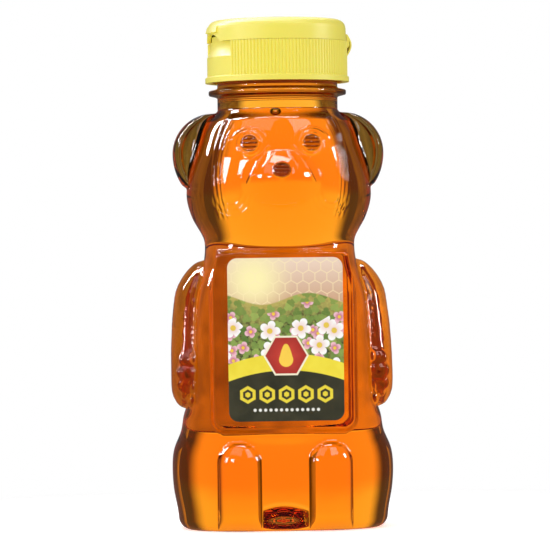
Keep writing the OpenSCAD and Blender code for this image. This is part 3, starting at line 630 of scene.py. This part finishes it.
def label_material():
    mat, tree, shader = node_material("label_print")
    place_node = add(tree, "ShaderNodeTexCoord")
    parts = add(tree, "ShaderNodeSeparateXYZ")
    tree.links.new(place_node.outputs["Object"], parts.inputs[0])
    u = math_node(tree, "MULTIPLY_ADD", parts.outputs["X"], 1000.0, -LABEL_X)
    v = math_node(tree, "MULTIPLY_ADD", parts.outputs["Z"], 1000.0, -LABEL_Z)
    flat = add(tree, "ShaderNodeCombineXYZ")
    tree.links.new(u, flat.inputs[0])
    tree.links.new(v, flat.inputs[1])
    where = flat.outputs[0]
    mottle = add(tree, "ShaderNodeTexNoise", Scale=0.9, Detail=5.0, Roughness=0.6)
    drift = add(tree, "ShaderNodeTexNoise", Scale=0.16, Detail=2.0)
    for texture in (mottle, drift):
        tree.links.new(where, texture.inputs["Vector"])

    # Sky: pale rose to gold, with a glow at the upper left and fine honeycomb lines.
    art = layered(tree, (0.62, 0.36, 0.20), ranged(tree, v, 10.0, 22.0, 0, 1), (0.86, 0.66, 0.52))
    glow_at = add(tree, "ShaderNodeVectorMath", operation="DISTANCE")
    tree.links.new(where, glow_at.inputs[0])
    glow_at.inputs[1].default_value = (-9.0, 17.0, 0)
    art = layered(tree, art, ranged(tree, glow_at.outputs["Value"], 1.0, 13.0, 1, 0, "SMOOTHSTEP"), (1.0, 0.90, 0.45))
    comb = ranged(tree, honeycomb(tree, u, v, 3.4), 1.52, 1.62, 0, 0.55, "SMOOTHSTEP")
    art = layered(tree, art, comb, (1.0, 0.86, 0.50))

    # Meadow: mottled green under a rolling edge, then leaves and blossoms.
    hills = math_node(tree, "MULTIPLY_ADD", math_node(tree, "SINE", math_node(tree, "MULTIPLY", u, 0.24)), 1.6, 11.5)
    below = math_node(tree, "SUBTRACT", hills, v)
    green = layered(tree, (0.035, 0.05, 0.012), ranged(tree, mottle.outputs["Fac"], 0.38, 0.62, 0, 1), (0.30, 0.33, 0.07))
    green = layered(tree, green, ranged(tree, below, 0.0, 7.0, 0.75, 0.0), (0.62, 0.50, 0.12))
    leaf, leaf_reach, leaf_chance = scattered(tree, where, 2.5, 1.35, 3)
    tone = layered(tree, (0.10, 0.22, 0.03), leaf_chance, (0.36, 0.50, 0.10))
    green = layered(tree, green, math_node(tree, "MULTIPLY", leaf, 0.8), tone)
    art = layered(tree, art, ranged(tree, below, -0.15, 0.15, 0, 1), green)
    bloom_on = ranged(tree, below, 2.4, 2.7, 0, 1)
    for apart, size, lobes, inner, outer, heart in (
        (4.4, 1.8, 4, (0.60, 0.16, 0.26), (0.86, 0.52, 0.58), (0.86, 0.60, 0.05)),
        (6.6, 3.0, 5, (0.88, 0.70, 0.66), (0.96, 0.95, 0.92), (0.80, 0.56, 0.06)),
    ):
        share, reach, chance = scattered(tree, where, apart, size, lobes)
        on = math_node(tree, "MULTIPLY", math_node(tree, "GREATER_THAN", chance, 0.36), bloom_on)
        tint = layered(tree, inner, ranged(tree, reach, size * 0.3, size * 0.8, 0, 1), outer)
        tint = layered(tree, tint, inside(tree, reach, size * 0.27), heart)
        art = layered(tree, art, math_node(tree, "MULTIPLY", share, on), tint)

    # Foot: a dark panel under a bowed yellow ribbon, with a row of hexagons and a dotted line.
    bowed = math_node(tree, "MULTIPLY_ADD", math_node(tree, "MULTIPLY", u, u), 0.011, v)
    dark = layered(tree, (0.030, 0.030, 0.012), ranged(tree, drift.outputs["Fac"], 0.3, 0.7, 0, 1), (0.055, 0.050, 0.022))
    art = layered(tree, art, ranged(tree, bowed, -8.1, -7.9, 1, 0), dark)
    ribbon = math_node(tree, "ABSOLUTE", math_node(tree, "ADD", bowed, 6.4))
    yellow = layered(tree, (0.82, 0.66, 0.02), ranged(tree, drift.outputs["Fac"], 0.3, 0.7, 0, 1), (0.90, 0.76, 0.05))
    art = layered(tree, art, inside(tree, ribbon, 2.4), yellow)
    row = hexagon(tree, repeated(tree, u, 5.5), math_node(tree, "ADD", v, 15.6))
    within = inside(tree, math_node(tree, "ABSOLUTE", u), 13.6, 0.02)
    art = layered(tree, art, math_node(tree, "MULTIPLY", inside(tree, row, 2.2), within), (0.80, 0.64, 0.03))
    art = layered(tree, art, math_node(tree, "MULTIPLY", inside(tree, row, 1.35), within), (0.045, 0.042, 0.016))
    art = layered(tree, art, math_node(tree, "MULTIPLY", inside(tree, row, 0.7), within), (0.80, 0.64, 0.03))
    dots = hexagon(tree, repeated(tree, u, 1.5), math_node(tree, "ADD", v, 20.0))
    within = inside(tree, math_node(tree, "ABSOLUTE", u), 9.7, 0.02)
    art = layered(tree, art, math_node(tree, "MULTIPLY", inside(tree, dots, 0.42), within), (0.80, 0.80, 0.74))

    # Emblem: a red hexagon with a pale rim and a golden drop, on the ribbon.
    up = math_node(tree, "ADD", v, 4.6)
    badge = hexagon(tree, up, u)
    art = layered(tree, art, inside(tree, badge, 5.6), (0.90, 0.84, 0.62))
    red = layered(tree, (0.42, 0.02, 0.012), ranged(tree, badge, 0.0, 5.0, 1, 0), (0.66, 0.05, 0.025))
    art = layered(tree, art, inside(tree, badge, 5.1), red)
    taper = ranged(tree, up, -1.2, 3.4, 1.0, 0.0)
    width = math_node(tree, "MULTIPLY", math_node(tree, "SQRT", taper), 2.0)
    tip = math_node(tree, "SUBTRACT", math_node(tree, "ABSOLUTE", u), width)
    over = ranged(tree, up, -1.3, -1.1, 0, 1)
    over = math_node(tree, "MULTIPLY", over, ranged(tree, up, 3.2, 3.4, 1, 0))
    cone = math_node(tree, "MULTIPLY", ranged(tree, tip, -0.12, 0.12, 1, 0), over)
    ball = add(tree, "ShaderNodeVectorMath", operation="DISTANCE")
    tree.links.new(where, ball.inputs[0])
    ball.inputs[1].default_value = (0, -5.8, 0)
    drop = math_node(tree, "MAXIMUM", cone, inside(tree, ball.outputs["Value"], 2.0))
    art = layered(tree, art, drop, (0.95, 0.62, 0.06))

    # The glued back of the label: its pale paper colour, and a painted glow (emission) that stands in for light
    # reaching it through the honey.
    glued_back_and_painted_glow = ranged(tree, parts.outputs["Y"], -PANEL_D / 2 * MM - 6e-5, -PANEL_D / 2 * MM - 2e-5, 0, 1)
    shader.inputs["Emission Color"].default_value = (1, 0.95, 0.85, 1)
    tree.links.new(math_node(tree, "MULTIPLY", glued_back_and_painted_glow, 0.5), shader.inputs["Emission Strength"])
    tree.links.new(layered(tree, art, glued_back_and_painted_glow, (0.80, 0.77, 0.68)), shader.inputs["Base Color"])
    fine = noise(tree, 900, 3)
    tree.links.new(ranged(tree, fine.outputs["Fac"], 0.3, 0.7, 0.30, 0.42), shader.inputs["Roughness"])
    bump = add(tree, "ShaderNodeBump", Strength=0.1, Distance=0.00006)
    tree.links.new(fine.outputs["Fac"], bump.inputs["Height"])
    tree.links.new(bump.outputs["Normal"], shader.inputs["Normal"])
    return mat


def seal_material():
    mat, tree, shader = node_material("seal_foil")
    shade = noise(tree, 240, 4)
    silver = layered(tree, (0.74, 0.74, 0.72), shade.outputs["Fac"], (0.84, 0.83, 0.80))
    tree.links.new(silver, shader.inputs["Base Color"])
    shader.inputs["Metallic"].default_value = 0.75
    tree.links.new(ranged(tree, shade.outputs["Fac"], 0.3, 0.7, 0.28, 0.45), shader.inputs["Roughness"])
    bump = add(tree, "ShaderNodeBump", Strength=0.3, Distance=0.0001)
    wrinkle = noise(tree, 700, 4)
    tree.links.new(wrinkle.outputs["Fac"], bump.inputs["Height"])
    tree.links.new(bump.outputs["Normal"], shader.inputs["Normal"])
    return mat


def bubble_material():
    mat, tree, shader = node_material("air_bubble")
    shader.inputs["Base Color"].default_value = (1, 1, 1, 1)
    shader.inputs["Transmission Weight"].default_value = 1.0
    shader.inputs["IOR"].default_value = 0.68
    uneven = noise(tree, 300, 1)
    tree.links.new(ranged(tree, uneven.outputs["Fac"], 0, 1, 0, 0.01), shader.inputs["Roughness"])
    return mat


CLEAR = clear_material()
HONEY = honey_material()
CAP = plastic_material()
LABEL = label_material()
SEAL = seal_material()
BUBBLE = bubble_material()


# Bottle: the outer skin, the threaded neck and the bore down to the honey, as one closed mesh.
def thread_height(angle, z):
    """How far the thread stands out at an angle (degrees) and height."""
    pitch, deep, wide, start, sweep = 4.23, 1.15, 2.0, 33.0, 380.0
    out = np.zeros_like(angle)
    for lap in range(3):
        a = (angle - start) % 360 + 360 * lap
        along = np.minimum(a, sweep - a) / 20.0
        centre = RIM_Z - 7.4 + pitch * a / 360
        flank = ease((wide / 2 - np.abs(z - centre)) / (wide * 0.3))
        out = np.maximum(out, deep * flank * ease(along))
    return out


def neck_rings(edge):
    angle = np.degrees(np.arctan2(edge[:, 1], edge[:, 0]))
    rings = []
    profile = [
        (NECK_R, 0.3), (NECK_R, 2.0), (NECK_R, 3.4), (NECK_R + 0.35, 3.8), (19.2, 4.15), (19.75, 4.3), (19.9, 4.55),
        (19.9, 5.35), (19.75, 5.6), (19.2, 5.75), (NECK_R + 0.35, 6.1), (NECK_R, 6.5),
    ]
    for r, z in profile:
        rings.append(round_ring(edge, r, BEAR_H + z))
    for z in np.arange(BEAR_H + 7.0, RIM_Z - 0.7, 0.25):
        r = NECK_R + thread_height(angle, z)
        s = r / np.hypot(edge[:, 0], edge[:, 1])
        rings.append(np.stack([edge[:, 0] * s, edge[:, 1] * s, np.full(len(edge), z)], axis=1))
    rim = [(NECK_R, -0.5), (NECK_R - 0.15, -0.15), (NECK_R - 0.5, 0), (BORE_R + 0.3, 0), (BORE_R + 0.08, -0.1), (BORE_R, -0.4)]
    for r, z in rim:
        rings.append(round_ring(edge, r, RIM_Z + z))
    for z in np.linspace(RIM_Z - 1.0, FILL_Z, 8):
        rings.append(round_ring(edge, BORE_R, z))
    for r in (14.0, 11.0, 7.0, 3.0):
        rings.append(round_ring(edge, r, FILL_Z))
    return rings


FINE_GRID = (84, 26, 64, 30)
HONEY_GRID = (44, 14, 34, 18)


def make_bottle():
    rings = skin(0.0, FINE_GRID, 1.0)
    rings += neck_rings(rings[-1])
    obj = lofted("bear_bottle", rings, (0, 0, DOME_H), (0, 0, FILL_Z))
    return place(obj, "bottle", CLEAR, ["bottle"])


def make_honey():
    rings = skin(WALL, HONEY_GRID, 0.6)
    edge = rings[-1]
    for z in np.linspace(BEAR_H + 0.5, FILL_Z - 0.1, 6):
        rings.append(round_ring(edge, BORE_R + 0.4, z))
    obj = lofted("honey_filling", rings, (0, 0, DOME_H + WALL), (0, 0, FILL_Z - 0.1))
    return place(obj, "bottle", HONEY, ["honey"])


make_bottle()
make_honey()

# An air bubble held under the shoulder, seen at the top of the forehead.
def make_bubble():
    rings = []
    for a in np.radians(np.arange(-80, 81, 10)):
        turn = np.radians(np.arange(0, 360, 10))
        r = 1.55 * np.cos(a)
        rings.append(np.stack([r * np.cos(turn), r * np.sin(turn), np.full(len(turn), 1.5 * np.sin(a))], axis=1))
    middle = np.array(BUBBLE_AT)
    rings = [r + middle for r in rings]
    obj = lofted("air_bubble", rings, middle + (0, 0, -1.5), middle + (0, 0, 1.5))
    return place(obj, "bottle", BUBBLE)


BUBBLE_AT = (-1.1, -14.9, 119.0)
make_bubble()


# The living hinge: the CAD forms, cut into thin rows across their height.
def make_hinge(name, node, low, high):
    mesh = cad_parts[node].data.copy()
    mesh.name = name
    work = bmesh.new()
    work.from_mesh(mesh)
    for z in np.arange(low, high + 0.01, 0.15):
        every = work.verts[:] + work.edges[:] + work.faces[:]
        bmesh.ops.bisect_plane(work, geom=every, dist=1e-7, plane_co=(0, 0, z * MM), plane_no=(0, 0, 1))
    work.to_mesh(mesh)
    work.free()
    obj = bpy.data.objects.new(name, mesh)
    scene.collection.objects.link(obj)
    obj.data.materials.clear()
    obj.data.materials.append(CAP)
    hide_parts(node)
    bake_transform(obj)


make_hinge("strap_web", "hinge_strap", DECK_Z - 1.8, DECK_Z + 1.6)
make_hinge("film_webs", "hinge_films", DECK_Z - 0.6, DECK_Z + 0.6)

for node, material in (("cap_base", CAP), ("cap_lid", CAP), ("front_label", LABEL), ("inner_seal", SEAL)):
    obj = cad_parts[node]
    obj.data.materials.clear()
    obj.data.materials.append(material)


# Studio: a pale floor that fades into a white backdrop, soft boxes for the gloss and an even fill.
BACKDROP_LOW = (1.0, 0.66, 0.40)
FLOOR_NEAR, FLOOR_FAR, FLOOR_GLOW = 0.08, 0.20, 0.50
BACKDROP = {"behind": 1.1, "edge": 0.10, "front": 0.35, "beside": 0.3, "above": 0.5, "fill": 0.85, "gloss": 0.1}


def floor_material():
    mat, tree, shader = node_material("floor")
    shader.inputs["Base Color"].default_value = (0.93, 0.93, 0.93, 1)
    shader.inputs["Emission Color"].default_value = (1, 1, 1, 1)
    shader.inputs["Emission Strength"].default_value = FLOOR_GLOW
    grain = noise(tree, 40, 3)
    tree.links.new(ranged(tree, grain.outputs["Fac"], 0, 1, 0.6, 0.7), shader.inputs["Roughness"])
    where = add(tree, "ShaderNodeTexCoord")
    reach = add(tree, "ShaderNodeVectorMath", operation="LENGTH")
    tree.links.new(where.outputs["Object"], reach.inputs[0])
    clear = add(tree, "ShaderNodeBsdfTransparent")
    fade = add(tree, "ShaderNodeMixShader")
    share = ranged(tree, reach.outputs["Value"], FLOOR_NEAR, FLOOR_FAR, 0, 1, "SMOOTHSTEP")
    tree.links.new(share, fade.inputs["Fac"])
    tree.links.new(shader.outputs["BSDF"], fade.inputs[1])
    tree.links.new(clear.outputs["BSDF"], fade.inputs[2])
    tree.links.new(fade.outputs["Shader"], tree.nodes["Material Output"].inputs["Surface"])
    return mat


def make_floor():
    half = 320.0
    obj = new_object("floor", [(-half, -half, 0), (half, -half, 0), (half, half, 0), (-half, half, 0)], [(0, 1, 2, 3)])
    obj.data.materials.append(floor_material())
    obj.visible_transmission = False
    obj.visible_glossy = False


# A soft box seen from the bear at an azimuth (0 is the camera's side, positive to the right) and an elevation.
def soft_box(name, azimuth, elevation, size, glow, far=650.0, lights_all=False, roll=0.0):
    a, e = math.radians(azimuth), math.radians(elevation)
    centre = Vector((0, 0, 95))
    spot = centre + far * Vector((math.sin(a) * math.cos(e), -math.cos(a) * math.cos(e), math.sin(e)))
    data = bpy.data.lights.new(name, "AREA")
    data.shape = "RECTANGLE"
    data.size, data.size_y = size[0] * MM, size[1] * MM
    data.energy = glow * math.pi * data.size * data.size_y
    obj = bpy.data.objects.new(name, data)
    scene.collection.objects.link(obj)
    obj.location = spot * MM
    aim = (spot - centre).to_track_quat("Z", "Y").to_matrix()
    obj.rotation_euler = (aim @ Matrix.Rotation(math.radians(roll), 3, "Z")).to_euler()
    obj.visible_camera = False
    obj.visible_diffuse = lights_all
    obj.visible_transmission = False
    return obj


# The camera sees plain white. Light that comes through the bottle sees a white backdrop with darker edges,
# as in a product studio, and gloss sees a dim room, so that only the soft boxes mirror in the surface.
def make_world():
    world = bpy.data.worlds.new("studio")
    world.use_nodes = True
    tree = world.node_tree
    back = tree.nodes["Background"]
    where = add(tree, "ShaderNodeTexCoord")
    parts = add(tree, "ShaderNodeSeparateXYZ")
    tree.links.new(where.outputs["Generated"], parts.inputs[0])
    ax = math_node(tree, "ABSOLUTE", parts.outputs["X"])
    ay = math_node(tree, "ABSOLUTE", parts.outputs["Y"])
    angle = math_node(tree, "ARCTAN2", ax, ay)
    tall = ranged(tree, parts.outputs["Z"], -0.57, -0.33, 0.0, 1.0, "SMOOTHSTEP")
    wide = ranged(tree, angle, 0.38, 0.60, BACKDROP["behind"], 0.0, "SMOOTHSTEP")
    edge = ranged(tree, parts.outputs["Y"], -0.1, 0.1, BACKDROP["front"], BACKDROP["edge"])
    behind = math_node(tree, "MULTIPLY_ADD", wide, tall, edge)
    beside = ranged(tree, angle, 1.40, 1.52, BACKDROP["edge"], BACKDROP["beside"], "SMOOTHSTEP")
    above = ranged(tree, parts.outputs["Z"], 0.45, 0.85, BACKDROP["edge"], BACKDROP["above"], "SMOOTHSTEP")
    seen = math_node(tree, "MAXIMUM", math_node(tree, "MAXIMUM", behind, beside), above)
    path = add(tree, "ShaderNodeLightPath")
    plain = blend_value(tree, path.outputs["Is Diffuse Ray"], BACKDROP["gloss"], BACKDROP["fill"])
    through = blend_value(tree, path.outputs["Is Transmission Ray"], plain, seen)
    tree.links.new(blend_value(tree, path.outputs["Is Camera Ray"], through, 1.0), back.inputs["Strength"])
    low = ranged(tree, parts.outputs["Z"], -0.03, 0.06, 1, 0, "SMOOTHSTEP")
    low = math_node(tree, "MULTIPLY", low, path.outputs["Is Transmission Ray"])
    tree.links.new(layered(tree, (1.0, 1.0, 1.0), low, BACKDROP_LOW), back.inputs["Color"])
    scene.world = world


# Glowing sheets behind the ears, the head, the arms, the sides and the belly, seen only through the bottle, like the
# dark cards used to draw a dark edge round glass: painted shade for the dark edges and darker warm bands inside the
# honey, each sheet's glow graded across it and mottled.
def make_painted_shade_card(name, x0, x1, z0, z1, colour, low, high, y=55.0, inner=None):
    rows = np.linspace(z0, z1, 13)
    verts = [(inner(z) if inner and x == x0 else x, y, z) for z in rows for x in (x0, x1)]
    faces = [(2 * i, 2 * i + 1, 2 * i + 3, 2 * i + 2) for i in range(len(rows) - 1)]
    obj = new_object(name, verts, faces)
    mat, tree, shader = node_material(name)
    glow = add(tree, "ShaderNodeEmission", Color=(*colour, 1))
    where = add(tree, "ShaderNodeTexCoord")
    parts = add(tree, "ShaderNodeSeparateXYZ")
    tree.links.new(where.outputs["Object"], parts.inputs[0])
    across = ranged(tree, parts.outputs["X"], x0 * MM, x1 * MM, low, high)
    painted_shade_patches = ranged(tree, noise(tree, 110, 2).outputs["Fac"], 0.35, 0.65, 0.75, 1.25)
    tree.links.new(math_node(tree, "MULTIPLY", across, painted_shade_patches), glow.inputs["Strength"])
    tree.links.new(glow.outputs["Emission"], tree.nodes["Material Output"].inputs["Surface"])
    obj.data.materials.append(mat)
    obj.visible_camera = False
    obj.visible_diffuse = False
    obj.visible_glossy = False
    obj.visible_shadow = False


make_floor()
make_world()
for side, name in ((-1, "left"), (1, "right")):
    beside_head = lambda z, side=side: side * 0.94 * station(z, 1)
    make_painted_shade_card(f"painted_shade_ear_{name}", side * 24, side * 60, 95, 120, (1.0, 0.66, 0.18), 0.15, 0.05, 8.5, beside_head)
    make_painted_shade_card(f"painted_shade_head_{name}", side * 20.5, side * 220, 86, 220, (1.0, 0.80, 0.35), 0.22, 0.22)
    make_painted_shade_card(f"painted_shade_arm_{name}", side * 22.5, side * 36, 2, 85, (1.0, 0.80, 0.40), 0.6, 0.12)
    make_painted_shade_card(f"painted_shade_side_{name}", side * 36, side * 120, 2, 85, (1.0, 0.80, 0.40), 0.12, 0.12)
# Painted shade behind the belly: darker at the left, lighter at the right.
make_painted_shade_card("painted_shade_belly", -22, 22, 29, 82, (1.0, 0.64, 0.33), 0.34, 0.85, 26.0)
soft_box("box_left", -66, 16, (110, 130), 24)
soft_box("box_left_front", -40, 17, (130, 70), 24)
soft_box("box_right", 78, 18, (110, 130), 38)
soft_box("box_right_front", 34, 42, (300, 330), 4)
soft_box("box_arc", -116, 50, (100, 760), 45)
soft_box("box_top", -10, 84, (420, 160), 12)
soft_box("box_back_top", 175, 58, (560, 120), 14)
soft_box("box_key", -34, 48, (500, 400), 1.5, lights_all=True)
scene.view_settings.view_transform = "Standard"
